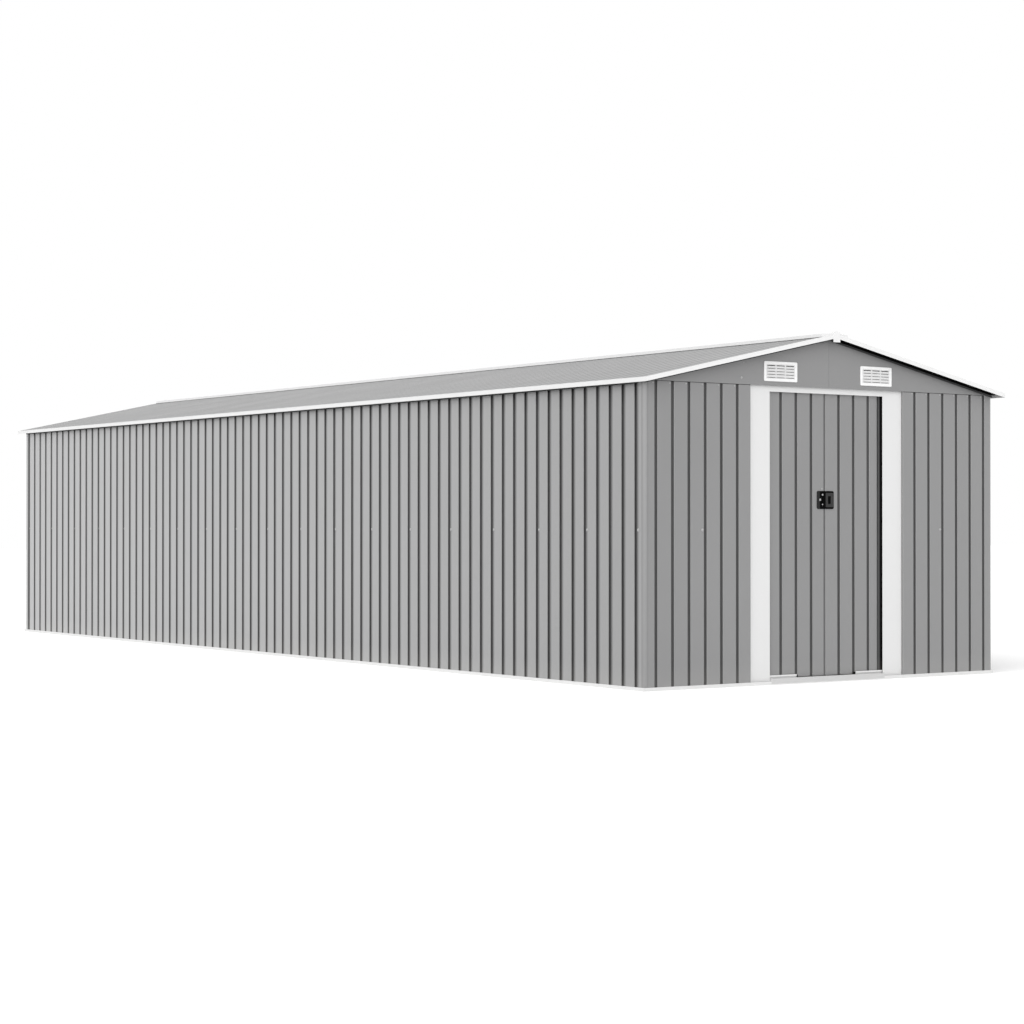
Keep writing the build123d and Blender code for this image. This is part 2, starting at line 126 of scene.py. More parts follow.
def addTint(tree, amount, plain, tinted):
    node = tree.nodes.new("ShaderNodeMix")
    node.data_type = "RGBA"
    feedSocket(tree, amount, node.inputs[0])
    feedSocket(tree, plain, node.inputs[6])
    feedSocket(tree, tinted, node.inputs[7])
    return node.outputs[2]


def addPlace(tree):
    return tree.nodes.new("ShaderNodeTexCoord").outputs["Object"]


def addNoise(tree, place, scale, detail=2):
    node = tree.nodes.new("ShaderNodeTexNoise")
    node.inputs["Scale"].default_value = scale
    node.inputs["Detail"].default_value = detail
    tree.links.new(place, node.inputs["Vector"])
    return node.outputs["Fac"]


def addBump(tree, height, strength, depth):
    node = tree.nodes.new("ShaderNodeBump")
    node.inputs["Distance"].default_value = depth
    feedSocket(tree, strength, node.inputs["Strength"])
    tree.links.new(height, node.inputs["Height"])
    return node.outputs[0]


def addRamp(tree, value, tones):
    node = tree.nodes.new("ShaderNodeValToRGB")
    for element, tone in zip(node.color_ramp.elements, tones):
        element.color = tone
    tree.links.new(value, node.inputs[0])
    return node.outputs[0]


def startMaterial(name):
    material = bpy.data.materials.new(name)
    material.use_nodes = True
    tree = material.node_tree
    return material, tree, tree.nodes["Principled BSDF"]


# Soft studio: an even pale world, one wide lamp from the upper left, a pale floor
studio = {
    "white": (1, 1, 1, 1),
    "worldStrength": 0.72,
    "lampStrength": 3.6,
    "lampSpread": 90,
    "lampTilt": (65, 0, -50),
    "floorSize": 120.0,
    "floorColour": (0.88, 0.88, 0.88, 1),
    "floorRoughness": 0.9,
}


def addWorld(sizes):
    # Dimmer as a lamp than where it is seen directly or in a reflection
    world = bpy.data.worlds.new("studioWorld")
    world.use_nodes = True
    tree = world.node_tree
    soft = tree.nodes["Background"]
    seen = tree.nodes.new("ShaderNodeBackground")
    for shader, strength in ((soft, sizes["worldStrength"]), (seen, 1.0)):
        shader.inputs["Color"].default_value = sizes["white"]
        shader.inputs["Strength"].default_value = strength
    rays = tree.nodes.new("ShaderNodeLightPath").outputs
    either = addMath(tree, "MAXIMUM", rays["Is Camera Ray"], rays["Is Glossy Ray"])
    anySeen = addMath(tree, "MAXIMUM", either, rays["Is Transmission Ray"])
    mix = tree.nodes.new("ShaderNodeMixShader")
    tree.links.new(anySeen, mix.inputs["Fac"])
    tree.links.new(soft.outputs[0], mix.inputs[1])
    tree.links.new(seen.outputs[0], mix.inputs[2])
    tree.links.new(mix.outputs[0], tree.nodes["World Output"].inputs["Surface"])
    scene.world = world


def addLamp(sizes):
    lamp = bpy.data.objects.new("softLamp", bpy.data.lights.new("softLamp", "SUN"))
    lamp.data.energy = sizes["lampStrength"]
    lamp.data.angle = radians(sizes["lampSpread"])
    lamp.rotation_euler = [radians(a) for a in sizes["lampTilt"]]
    scene.collection.objects.link(lamp)


def addFloor(sizes):
    half = sizes["floorSize"] / 2
    corners = [(-half, -half, 0), (half, -half, 0), (half, half, 0), (-half, half, 0)]
    mesh = bpy.data.meshes.new("studioFloor")
    mesh.from_pydata(corners, [], [(0, 1, 2, 3)])
    floor = bpy.data.objects.new("studioFloor", mesh)
    scene.collection.objects.link(floor)
    paint, tree, shader = startMaterial("studioFloor")
    shader.inputs["Roughness"].default_value = sizes["floorRoughness"]
    shader.inputs["Specular IOR Level"].default_value = 0.0
    seen = tree.nodes.new("ShaderNodeLightPath").outputs["Is Camera Ray"]
    tone = addTint(tree, seen, sizes["floorColour"], sizes["white"])
    tree.links.new(tone, shader.inputs["Base Color"])
    mesh.materials.append(paint)


addWorld(studio)
addLamp(studio)
addFloor(studio)
print("studio lit")


# Effects that several finishes share are node groups: inputs by value, outputs by kind
midGrey = (0.5, 0.5, 0.5, 1)
skinOutputs = {"Colour": "Color", "Roughness": "Float", "Normal": "Vector"}


def addGroup(name, inputs, outputs):
    group = bpy.data.node_groups.new(name, "ShaderNodeTree")
    for label, value in inputs.items():
        kind = "NodeSocketColor" if isinstance(value, tuple) else "NodeSocketFloat"
        socket = group.interface.new_socket(name=label, in_out="INPUT", socket_type=kind)
        socket.default_value = value
    for label, kind in outputs.items():
        group.interface.new_socket(name=label, in_out="OUTPUT", socket_type="NodeSocket" + kind)
    start, end = group.nodes.new("NodeGroupInput"), group.nodes.new("NodeGroupOutput")
    return group, start.outputs, end.inputs


# Coil coating: a slow drift of tone and a fine skin
coatGrain = {
    "driftScale": 2.2,
    "driftDetail": 3,
    "driftSpan": (0.3, 0.7),
    "roughSpan": (0.9, 1.1),
    "skinScale": 700,
    "skinDepth": 0.0002,
}


def makeCoatGrain(sizes):
    group, given, out = addGroup(
        "coatGrain", {"Colour": midGrey, "Drift": 0.03, "Roughness": 0.4, "Skin": 0.15}, skinOutputs)
    place = addPlace(group)
    slow = addNoise(group, place, sizes["driftScale"], sizes["driftDetail"])
    low = addMath(group, "SUBTRACT", 1.0, given["Drift"])
    high = addMath(group, "ADD", 1.0, given["Drift"])
    factor = addRange(group, slow, *sizes["driftSpan"], low, high)
    group.links.new(addScaled(group, given["Colour"], factor), out["Colour"])
    clouded = addRange(group, slow, *sizes["driftSpan"], *sizes["roughSpan"])
    group.links.new(addMath(group, "MULTIPLY", given["Roughness"], clouded), out["Roughness"])
    skin = addNoise(group, place, sizes["skinScale"])
    group.links.new(addBump(group, skin, given["Skin"], sizes["skinDepth"]), out["Normal"])
    return group


# Painted shade in the pressed grooves: on their walls, and more on their floors, with the coat dulled
# there too
groovePaintedShade = {
    "wallSpan": (0.08, 0.55),
    "floorSpan": (0.56, 0.66),
    "floorMore": 0.15,
    "dullest": 0.15,
}


def makeGrooveShade(sizes):
    group, given, out = addGroup(
        "grooveShade", {"Colour": midGrey, "Dark": 0.6, "Shine": 0.5},
        {"Colour": "Color", "Gloss": "Float"})
    # The attribute holds each point's share of painted shade
    attribute = group.nodes.new("ShaderNodeAttribute")
    attribute.attribute_name = "paintedShadeShare"
    depth = attribute.outputs["Fac"]
    wall = addRange(group, depth, *sizes["wallSpan"], 0.0, 1.0)
    floor = addRange(group, depth, *sizes["floorSpan"], 0.0, sizes["floorMore"])
    deep = addMath(group, "MULTIPLY", addMath(group, "ADD", wall, floor), given["Dark"])
    factor = addMath(group, "MAXIMUM", addMath(group, "SUBTRACT", 1.0, deep), 0.0)
    group.links.new(addScaled(group, given["Colour"], factor), out["Colour"])
    dulled = addRange(group, wall, 0.0, 1.0, 1.0, sizes["dullest"])
    group.links.new(addMath(group, "MULTIPLY", dulled, given["Shine"]), out["Gloss"])
    return group


# A patchy brownish darkening towards the bottom of what stands on the ground
footDarkening = {"patchScale": 14, "patchDetail": 5, "tone": (0.42, 0.40, 0.37, 1)}


def makeFootDarkening(sizes):
    group, given, out = addGroup(
        "footDarkening", {"Colour": midGrey, "Amount": 0.15, "Height": 0.12}, {"Colour": "Color"})
    place = addPlace(group)
    split = group.nodes.new("ShaderNodeSeparateXYZ")
    group.links.new(place, split.inputs[0])
    patches = addNoise(group, place, sizes["patchScale"], sizes["patchDetail"])
    fall = addRange(group, split.outputs["Z"], 0.0, given["Height"], 1.0, 0.0)
    patchy = addMath(group, "MULTIPLY", fall, patches)
    amount = addMath(group, "MULTIPLY", patchy, given["Amount"])
    group.links.new(addTint(group, amount, given["Colour"], sizes["tone"]), out["Colour"])
    return group


# Moulded plastic: a fine spark-eroded grain and a faint cloud of tone
mouldedSkin = {
    "grainScale": 1400,
    "grainStrength": 0.2,
    "grainDepth": 0.0001,
    "cloudScale": 30,
    "cloudSpan": (0.3, 0.7),
    "toneSpan": (0.96, 1.04),
    "roughSpan": (0.9, 1.1),
}


def makeMouldedSkin(sizes):
    group, given, out = addGroup(
        "mouldedSkin", {"Colour": midGrey, "Roughness": 0.5}, skinOutputs)
    place = addPlace(group)
    grain = addNoise(group, place, sizes["grainScale"])
    bump = addBump(group, grain, sizes["grainStrength"], sizes["grainDepth"])
    group.links.new(bump, out["Normal"])
    cloud = addNoise(group, place, sizes["cloudScale"])
    tone = addRange(group, cloud, 0.0, 1.0, *sizes["toneSpan"])
    group.links.new(addScaled(group, given["Colour"], tone), out["Colour"])
    rough = addRange(group, cloud, *sizes["cloudSpan"], *sizes["roughSpan"])
    group.links.new(addMath(group, "MULTIPLY", given["Roughness"], rough), out["Roughness"])
    return group


groups = {
    "coatGrain": makeCoatGrain(coatGrain),
    "grooveShade": makeGrooveShade(groovePaintedShade),
    "footDarkening": makeFootDarkening(footDarkening),
    "mouldedSkin": makeMouldedSkin(mouldedSkin),
}


def placeGroup(tree, name, **values):
    node = tree.nodes.new("ShaderNodeGroup")
    node.node_tree = groups[name]
    for label, value in values.items():
        feedSocket(tree, value, node.inputs[label])
    return node.outputs


# What the coated finishes share, then what each has of its own
coatBase = {
    "roughness": 0.42,
    "specular": 0.5,
    "gloss": 0.7,
    "dark": 0.0,
    "drift": 0.02,
    "paintedSheen": 0.0,
}
coats = {
    "wallSheet": {"colour": (0.180, 0.180, 0.181, 1), "dark": 0.88, "paintedSheen": 0.80},
    "roofSheet": {"colour": (0.180, 0.180, 0.181, 1), "roughness": 0.45, "gloss": 0.2,
                  "dark": 0.30, "drift": 0.03},
    "doorSheet": {"colour": (0.180, 0.180, 0.181, 1), "dark": 0.84},
    "gableSheet": {"colour": (0.176, 0.176, 0.177, 1)},
    "sheetBack": {"colour": (0.36, 0.36, 0.35, 1), "roughness": 0.55, "specular": 0.4,
                  "gloss": 0.0, "dark": 0.25, "drift": 0.04},
    # The roof's back is the sheet back painted darker, as painted shade under the roof
    "roofBackPaintedShade": {"colour": (0.300, 0.300, 0.295, 1), "roughness": 0.6, "specular": 0.3,
                 "gloss": 0.0, "drift": 0.05},
    # The lighter copy of the white trim is painted light on the rakes and the ridge
    "litWhiteTrim": {"colour": (0.635, 0.635, 0.635, 1), "roughness": 0.38, "gloss": 0.3,
                   "drift": 0.01},
    "whiteTrim": {"colour": (0.575, 0.575, 0.575, 1), "roughness": 0.38, "gloss": 0.3,
                  "drift": 0.01},
    "paleSill": {"colour": (0.455, 0.455, 0.455, 1), "gloss": 0.2},
    # The near black rail colour is painted shade, for rails and lips that lie in shadow under the
    # rakes
    "railPaintedShade": {"colour": (0.056, 0.056, 0.057, 1), "roughness": 0.6, "specular": 0.05,
                 "gloss": 0.0, "drift": 0.04},
    # The leaf edge fold is near black as painted shade in the gap behind the door post
    "edgeFoldPaintedShade": {"colour": (0.085, 0.085, 0.086, 1), "roughness": 0.6, "specular": 0.05,
                 "gloss": 0.0, "dark": 0.98},
}

# The clear top coat, and the slants over which painted sheen lifts the base colour
topCoat = {"roughness": 0.22, "ior": 1.55, "slantBlend": 0.5, "slantSpan": (0.30, 0.70)}


def makeCoat(name, finish):
    material, tree, shader = startMaterial(name)
    shader.inputs["Specular IOR Level"].default_value = finish["specular"]
    shader.inputs["Coat Roughness"].default_value = topCoat["roughness"]
    shader.inputs["Coat IOR"].default_value = topCoat["ior"]
    grain = placeGroup(tree, "coatGrain", Colour=finish["colour"], Drift=finish["drift"],
                       Roughness=finish["roughness"])
    shade = placeGroup(tree, "grooveShade", Colour=grain["Colour"], Dark=finish["dark"],
                       Shine=finish["gloss"])
    if finish["gloss"] and finish["dark"]:
        tree.links.new(shade["Gloss"], shader.inputs["Coat Weight"])
    else:
        shader.inputs["Coat Weight"].default_value = finish["gloss"]
    dust = placeGroup(tree, "footDarkening", Colour=shade["Colour"])
    # Painted sheen: the base colour is lifted where the sheet is seen at a slant
    slant = tree.nodes.new("ShaderNodeLayerWeight")
    slant.inputs["Blend"].default_value = topCoat["slantBlend"]
    sheenLift = addRange(tree, slant.outputs["Facing"], *topCoat["slantSpan"], 1.0, 1.0 + finish["paintedSheen"])
    tree.links.new(addScaled(tree, dust["Colour"], sheenLift), shader.inputs["Base Color"])
    for label in ("Roughness", "Normal"):
        tree.links.new(grain[label], shader.inputs[label])
    return material


# Hot-dipped zinc with its faint crystals
zinc = {
    "metallic": 0.75,
    "crystalScale": 120,
    "tones": [(0.44, 0.45, 0.46, 1), (0.62, 0.63, 0.64, 1)],
    "roughSpan": (0.38, 0.52),
}


def makeZinc(sizes):
    material, tree, shader = startMaterial("zincFrame")
    shader.inputs["Metallic"].default_value = sizes["metallic"]
    crystals = tree.nodes.new("ShaderNodeTexVoronoi")
    crystals.inputs["Scale"].default_value = sizes["crystalScale"]
    tree.links.new(addPlace(tree), crystals.inputs["Vector"])
    cell = tree.nodes.new("ShaderNodeSeparateColor")
    tree.links.new(crystals.outputs["Color"], cell.inputs[0])
    tree.links.new(addRamp(tree, cell.outputs[0], sizes["tones"]), shader.inputs["Base Color"])
    rough = addRange(tree, cell.outputs[1], 0, 1, *sizes["roughSpan"])
    tree.links.new(rough, shader.inputs["Roughness"])
    return material


plastics = {
    # The vent field is the white plastic painted darker, as painted shade in its sunk recess
    "ventFieldPaintedShade": {"colour": (0.56, 0.56, 0.56, 1), "roughness": 0.45, "specular": 0.5},
    "whitePlastic": {"colour": (0.70, 0.70, 0.70, 1), "roughness": 0.40, "specular": 0.5},
    "blackPlastic": {"colour": (0.002, 0.002, 0.002, 1), "roughness": 0.60, "specular": 0.02},
    "greyPlastic": {"colour": (0.018, 0.018, 0.018, 1), "roughness": 0.50, "specular": 0.3},
    # Black plastic of the left pull's strip, also used for strips painted in as shadow lines
    "blackStripAndShadowLine": {"colour": (0.010, 0.010, 0.010, 1), "roughness": 0.65, "specular": 0.2},
}


def makePlastic(name, finish):
    material, tree, shader = startMaterial(name)
    shader.inputs["Specular IOR Level"].default_value = finish["specular"]
    skin = placeGroup(tree, "mouldedSkin", Colour=finish["colour"], Roughness=finish["roughness"])
    tree.links.new(skin["Colour"], shader.inputs["Base Color"])
    for label in ("Roughness", "Normal"):
        tree.links.new(skin[label], shader.inputs[label])
    return material


# Bright plated screw heads, slightly clouded
screwPlate = {
    "metallic": 0.25,
    "cloudScale": 300,
    "cloudSpan": (0.3, 0.7),
    "tones": [(0.29, 0.29, 0.29, 1), (0.35, 0.35, 0.35, 1)],
    "roughSpan": (0.45, 0.55),
}


def makeScrewZinc(sizes):
    material, tree, shader = startMaterial("screwZinc")
    shader.inputs["Metallic"].default_value = sizes["metallic"]
    cloud = addNoise(tree, addPlace(tree), sizes["cloudScale"])
    tree.links.new(addRamp(tree, cloud, sizes["tones"]), shader.inputs["Base Color"])
    rough = addRange(tree, cloud, *sizes["cloudSpan"], *sizes["roughSpan"])
    tree.links.new(rough, shader.inputs["Roughness"])
    return material


finishes = {name: makeCoat(name, {**coatBase, **finish}) for name, finish in coats.items()}
finishes.update({name: makePlastic(name, finish) for name, finish in plastics.items()})
finishes["zincFrame"] = makeZinc(zinc)
finishes["screwZinc"] = makeScrewZinc(screwPlate)
print("finishes made", len(finishes))


# Each piece rides a body, takes its finishes and hides the nodes that it replaces
def addPiece(name, shape, body, used, nodes=(), crease=35):
    bmesh.ops.recalc_face_normals(shape, faces=shape.faces)
    for edge in shape.edges:
        edge.smooth = edge.calc_face_angle(pi) < radians(crease)
    for face in shape.faces:
        face.smooth = True
    mesh = bpy.data.meshes.new(name)
    shape.to_mesh(mesh)
    shape.free()
    for finish in used:
        mesh.materials.append(finishes[finish])
    piece = bpy.data.objects.new(name, mesh)
    scene.collection.objects.link(piece)
    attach(piece, body)
    if nodes:
        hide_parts(*nodes)
    return piece


def roundedLine(corners, radius, steps):
    # Corners joined by straight runs, with an arc at each inner one
    line = [corners[0]]
    for before, corner, after in zip(corners, corners[1:], corners[2:]):
        back, ahead = (before - corner).normalized(), (after - corner).normalized()
        half = back.angle(ahead) / 2
        centre = corner + (back + ahead).normalized() * radius / sin(half)
        first = corner + back * radius / tan(half) - centre
        last = corner + ahead * radius / tan(half) - centre
        for i in range(steps + 1):
            line.append(centre + first.lerp(last, i / steps).normalized() * radius)
    return line + [corners[-1]]


# Pressed sheets, the same grooves all round
sheet = {
    "halfWidth": 1.209,
    "halfLength": 3.815,
    "low": 0.0018,
    "high": 1.521,
    "pitch": 0.104,
    "perPanel": 4,
    "mouth": 0.020,
    "floor": 0.013,
    "depth": 0.010,
    "skin": 0.0012,
    "lipRadius": 0.0022,
    "arcSteps": 4,
    "support": 0.0015,
    "lapGap": 0.00015,
    "sideFlat": 0.071,
    "frontFlat": 0.072,
    "cornerRadius": 0.026,
    "cornerRibs": 3,
    "sidePanels": 18,
    "rearPanels": 4,
}


# Painted shade of a groove: how fast it deepens, and how far it spreads over the lip before the
# groove
evenShade = {"boost": 1.0, "most": 0.5, "spread": 0.0, "lip": 0.0}
sideShade = {"boost": 2.6, "most": 0.56, "spread": 0.022, "lip": 0.56}

# How much more painted shade the side grooves get under the eaves, as (part of the height, gain) rows
evenRows = [(0.0, 1.0), (1.0, 1.0)]
eaveShadeRows = [(0.0, 1.0), (0.915, 1.0), (0.985, 1.18), (1.0, 1.18)]


def grooveShare(along, depth, grooves, shade):
    # Share of painted shade: from 0 on the face to 1 on the floor of a groove
    half = sheet["mouth"] / 2
    share = 0.0
    for g in grooves:
        if abs(along - g) < half + sheet["lipRadius"]:
            share = max(share, min(shade["most"], shade["boost"] * max(0.0, depth / sheet["depth"])))
        if shade["spread"] and g - half - shade["spread"] < along < g:
            share = max(share, shade["lip"] * min(1.0, 1 - (g - half - along) / shade["spread"]))
    return share


def sheetLine(start, end, grooves, startFlange=0.0, endFlange=0.0, shade=evenShade):
    # (along, depth, share) points of a sheet's outer face
    mouth, floor, depth = sheet["mouth"] / 2, sheet["floor"] / 2, sheet["depth"]

    def depthAt(place):
        return depth if any(abs(place - g) < floor for g in grooves) else 0.0

    corners = [(start, startFlange), (start, 0.0)] if startFlange else [(start, depthAt(start))]
    for g in grooves:
        wall = [(g - mouth, 0.0), (g - floor, depth), (g + floor, depth), (g + mouth, 0.0)]
        corners += [p for p in wall if start < p[0] < end]
    corners += [(end, 0.0), (end, endFlange)] if endFlange else [(end, depthAt(end))]
    line = roundedLine([Vector(c) for c in corners], sheet["lipRadius"], sheet["arcSteps"])
    full = [line[0]]
    for before, after in zip(line, line[1:]):
        run = (after - before).length
        if run > 4 * sheet["support"]:
            full.append(before.lerp(after, sheet["support"] / run))
            first, last = before.x + sheet["support"], after.x - sheet["support"]
            marks = [g - mouth - shade["spread"] for g in grooves if shade["spread"]]
            full += [Vector((m, 0)) for m in marks if first < m < last]
            full.append(before.lerp(after, 1 - sheet["support"] / run))
        full.append(after)
    return [(p.x, p.y, grooveShare(p.x, p.y, grooves, shade)) for p in full]


def sweepSheet(shape, line, sweep, inward, marks=evenRows):
    # A skin of even thickness from a line of (point, painted shade share), swept along a vector
    layer = shape.verts.layers.float.get("paintedShadeShare") or shape.verts.layers.float.new("paintedShadeShare")
    spots = [p for p, share in line]
    along = sweep.normalized()
    grid = []
    for i, (spot, share) in enumerate(line):
        run = (spots[min(i + 1, len(spots) - 1)] - spots[max(i - 1, 0)]).normalized()
        across = run.cross(along).normalized() * sheet["skin"] * inward
        column = []
        for base in (spot, spot + across):
            for part, gain in marks:
                vert = shape.verts.new(base + sweep * part)
                vert[layer] = share * gain
                column.append(vert)
        grid.append(column)
    rows, n = len(marks) - 1, len(marks)
    for a, b in zip(grid, grid[1:]):
        for row in range(rows):
            shape.faces.new((a[row], b[row], b[row + 1], a[row + 1]))
            inner = shape.faces.new((a[n + row], a[n + row + 1], b[n + row + 1], b[n + row]))
            inner.material_index = 1
        shape.faces.new((a[0], a[n], b[n], b[0]))
        shape.faces.new((a[rows], b[rows], b[n + rows], a[n + rows]))
    for column in (grid[0], grid[-1]):
        for row in range(rows):
            shape.faces.new((column[row], column[row + 1], column[n + row + 1], column[n + row]))


def grooveRow(first, count, pitch):
    return [first + pitch * i for i in range(count)]


def panelRow(first, panels, pitch):
    rows = []
    for i in range(panels):
        start = first + i * sheet["perPanel"] * pitch
        grooves = grooveRow(start, sheet["perPanel"] + 1, pitch)
        rows.append((grooves[0] + sheet["lapGap"], grooves[-1] - sheet["lapGap"], grooves))
    return rows


def uprightSheet(shape, line, place, inward, low=None, high=None, marks=evenRows):
    # place turns (along, depth) into a plan point
    low = sheet["low"] if low is None else low
    high = sheet["high"] if high is None else high
    spots = [(Vector((*place(u, d), low)), share) for u, d, share in line]
    sweepSheet(shape, spots, Vector((0, 0, high - low)), inward, marks)


wallFaces = ["wallSheet", "sheetBack"]


def addSideWalls():
    for name, side in (("left", -1), ("right", 1)):
        shape = bmesh.new()
        for start, end, grooves in panelRow(sheet["sideFlat"], sheet["sidePanels"], sheet["pitch"]):
            line = sheetLine(start, end, grooves, shade=sideShade)
            uprightSheet(shape, line,
                         lambda u, d: (side * (sheet["halfWidth"] - d), -sheet["halfLength"] + u),
                         -side, marks=eaveShadeRows)
        addPiece("sideSheets." + name, shape, "shed", wallFaces,
                 ["side_wall_" + name])


def lastCornerGroove():
    # How far from the middle a corner sheet's last groove lies
    return sheet["halfWidth"] - sheet["frontFlat"] - sheet["cornerRibs"] * sheet["pitch"]


def addRearWall():
    run = 2 * lastCornerGroove()
    pitch = run / (sheet["rearPanels"] * sheet["perPanel"])
    shape = bmesh.new()
    for start, end, grooves in panelRow(-run / 2, sheet["rearPanels"], pitch):
        line = sheetLine(start, end, grooves)
        uprightSheet(shape, line, lambda u, d: (u, sheet["halfLength"] - d), 1)
    addPiece("rearSheets", shape, "shed", wallFaces, ["rear_wall"])


# The bend of a corner sheet carries painted shade, a little less towards the side
bend = {"steps": 12, "shade": 0.19, "fall": 0.06}


def cornerLine(sideX, sideY):
    # Plan points of a corner sheet, from its last front groove round to its side groove
    w, l, r = sheet["halfWidth"], sheet["halfLength"], sheet["cornerRadius"]
    ribs = grooveRow(sheet["frontFlat"], sheet["cornerRibs"] + 1, sheet["pitch"])
    front = sheetLine(r, ribs[-1] - sheet["lapGap"], ribs)[::-1]
    spots = [((w - u, -l + d), share) for u, d, share in front]
    steps = bend["steps"]
    for i in range(1, steps):
        turn = radians(-90 + 90 * i / steps)
        share = bend["shade"] - bend["fall"] * i / steps
        spots.append(((w - r + r * cos(turn), -l + r + r * sin(turn)), share))
    flat = sheetLine(r, sheet["sideFlat"] - sheet["lapGap"], [sheet["sideFlat"]], shade=sideShade)
    spots += [((w - d, -l + u), share) for u, d, share in flat]
    return [(Vector((sideX * x, -sideY * y, sheet["low"])), share) for (x, y), share in spots]


def addCorners():
    for end, sideY in (("front", -1), ("rear", 1)):
        for name, sideX in (("left", -1), ("right", 1)):
            shape = bmesh.new()
            sweep = Vector((0, 0, sheet["high"] - sheet["low"]))
            sweepSheet(shape, cornerLine(sideX, sideY), sweep, sideX * sideY)
            addPiece(f"cornerSheet.{end}.{name}", shape, "shed", wallFaces,
                     [f"corner_panel_{end}_{name}"])


frontSheet = {"edge": 0.5303, "flange": 0.011}


def addFrontWalls():
    last = lastCornerGroove()
    grooves = [last - sheet["pitch"] * i for i in (2, 1, 0)]
    for name, side in (("left", -1), ("right", 1)):
        shape = bmesh.new()
        line = sheetLine(frontSheet["edge"], last - sheet["lapGap"], grooves,
                         startFlange=frontSheet["flange"])
        uprightSheet(shape, line, lambda u, d: (side * u, -sheet["halfLength"] + d), -side)
        addPiece("frontSheet." + name, shape, "shed", wallFaces,
                 ["front_wall_" + name])


# Door leaves, with painted shade on the left one where they meet and on the rounded far edge of each
leaf = {
    "firstGroove": 0.096,
    "grooves": 3,
    "depth": 0.020,
    "farRadius": 0.018,
    "farSteps": 8,
    "farShade": 0.25,
    "backShade": 0.3,
    "meetWidth": 0.016,
    "meetShade": 0.40,
    "meetFade": 0.6,
}

# The folded edge over a leaf's stile, with painted shade darker in (distance, shade) steps away from
# the meeting line
stile = {
    "clear": 0.0001,
    "bend": 0.001,
    "shades": [(0.001, 0.0), (0.004, 0.26), (0.009, 0.44), (0.013, 0.54)],
    "farShade": 0.6,
}


def shadeStart(line, width, shade):
    # The first part of a line given painted shade, fading out at the given width
    after = next(i for i, p in enumerate(line) if p[0] > width)
    shaded = [(u, d, shade) for u, d, share in line[:after]]
    return shaded + [(width * leaf["meetFade"], 0.0, shade), (width, 0.0, 0.0)] + line[after:]


def farEdge(end, radius):
    # The rounded far edge of a leaf, with painted shade growing towards its back
    steps, line = leaf["farSteps"], []
    for i in range(1, steps + 1):
        turn = radians(90 * i / steps)
        along, depth = end - radius + radius * sin(turn), radius - radius * cos(turn)
        line.append((along, depth, leaf["farShade"] * i / steps))
    return line + [(end, leaf["depth"], leaf["backShade"])]


def stileLine(near, far, face, back):
    fold, dark = stile["bend"], stile["farShade"]
    line = [(near, back, 0.0), (near, face + fold, 0.0)]
    line += [(near + step, face, shade) for step, shade in stile["shades"]]
    return line + [(far - fold, face, dark), (far, face + fold, dark), (far, back, dark)]


def addLeaves():
    low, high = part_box("door_leaf_right")
    stileLow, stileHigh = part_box("leaf_stile_right")
    clear = stile["clear"]
    grooves = grooveRow(leaf["firstGroove"], leaf["grooves"], sheet["pitch"])
    for name, side in (("left", -1), ("right", 1)):
        body = name + "_door"
        shape = bmesh.new()
        line = sheetLine(low[0], high[0] - leaf["farRadius"], grooves, startFlange=leaf["depth"])
        if name == "left":
            line = shadeStart(line, leaf["meetWidth"], leaf["meetShade"])
        line += farEdge(high[0], leaf["farRadius"])
        uprightSheet(shape, line, lambda u, d: (side * u, low[1] + d), -side, low[2], high[2])
        addPiece("leafSheet." + name, shape, body, ["doorSheet", "sheetBack"],
                 ["door_leaf_" + name])
        shape = bmesh.new()
        line = stileLine(stileLow[0] + clear, stileHigh[0] - clear,
                         stileLow[1] + clear, stileHigh[1] - clear)
        uprightSheet(shape, line, lambda u, d: (side * u, d), -side,
                     stileLow[2] + clear, stileHigh[2] - clear)
        addPiece("leafEdge." + name, shape, body, ["edgeFoldPaintedShade", "edgeFoldPaintedShade"],
                 ["leaf_stile_" + name])


# Roof sheets, grooves running down the slope
roof = {
    "ridgeGap": 0.040,
    "sideOverhang": 0.035,
    "endOverhang": 0.060,
    "eaveHeight": 1.529,
    "rise": 0.2655,
    "trim": 0.0018,
}
roof["half"] = sheet["halfWidth"] + roof["sideOverhang"]
roof["slope"] = roof["rise"] / roof["half"]


def roofTop(x):
    return roof["eaveHeight"] - roof["trim"] + roof["slope"] * (roof["half"] - abs(x))


def addRoof():
    outer = roof["half"] - roof["trim"]
    end = sheet["halfLength"] + roof["endOverhang"] - roof["trim"]
    first = -sheet["halfLength"] + sheet["sideFlat"]
    beyond = first - sheet["pitch"]
    rows = [(-end, first - sheet["lapGap"], [beyond, first])]
    rows += panelRow(first, sheet["sidePanels"], sheet["pitch"])
    rows += [(-first + sheet["lapGap"], end, [-first, -beyond])]
    run = outer - roof["ridgeGap"]
    for name, side in (("left", -1), ("right", 1)):
        shape = bmesh.new()
        sweep = Vector((side * run, 0, -run * roof["slope"]))
        for start, stop, grooves in rows:
            line = [(Vector((side * roof["ridgeGap"], u, roofTop(roof["ridgeGap"]) - d)), share)
                    for u, d, share in sheetLine(start, stop, grooves)]
            sweepSheet(shape, line, sweep, side)
        addPiece("roofSheets." + name, shape, "shed", ["roofSheet", "roofBackPaintedShade"],
                 ["roof_" + name])


addSideWalls()
addRearWall()
addCorners()
addFrontWalls()
addLeaves()
addRoof()
print("sheets pressed")


def joinRings(shape, pairs):
    for a, b in pairs:
        for i in range(len(a)):
            j = (i + 1) % len(a)
            shape.faces.new((a[i], a[j], b[j], b[i]))


def bridgeLoops(shape, loops):
    # Closed rings of equal length joined one to the next, with both ends capped
    rings = [[shape.verts.new(p) for p in loop] for loop in loops]
    joinRings(shape, zip(rings, rings[1:]))
    shape.faces.new(rings[0])
    shape.faces.new(rings[-1])


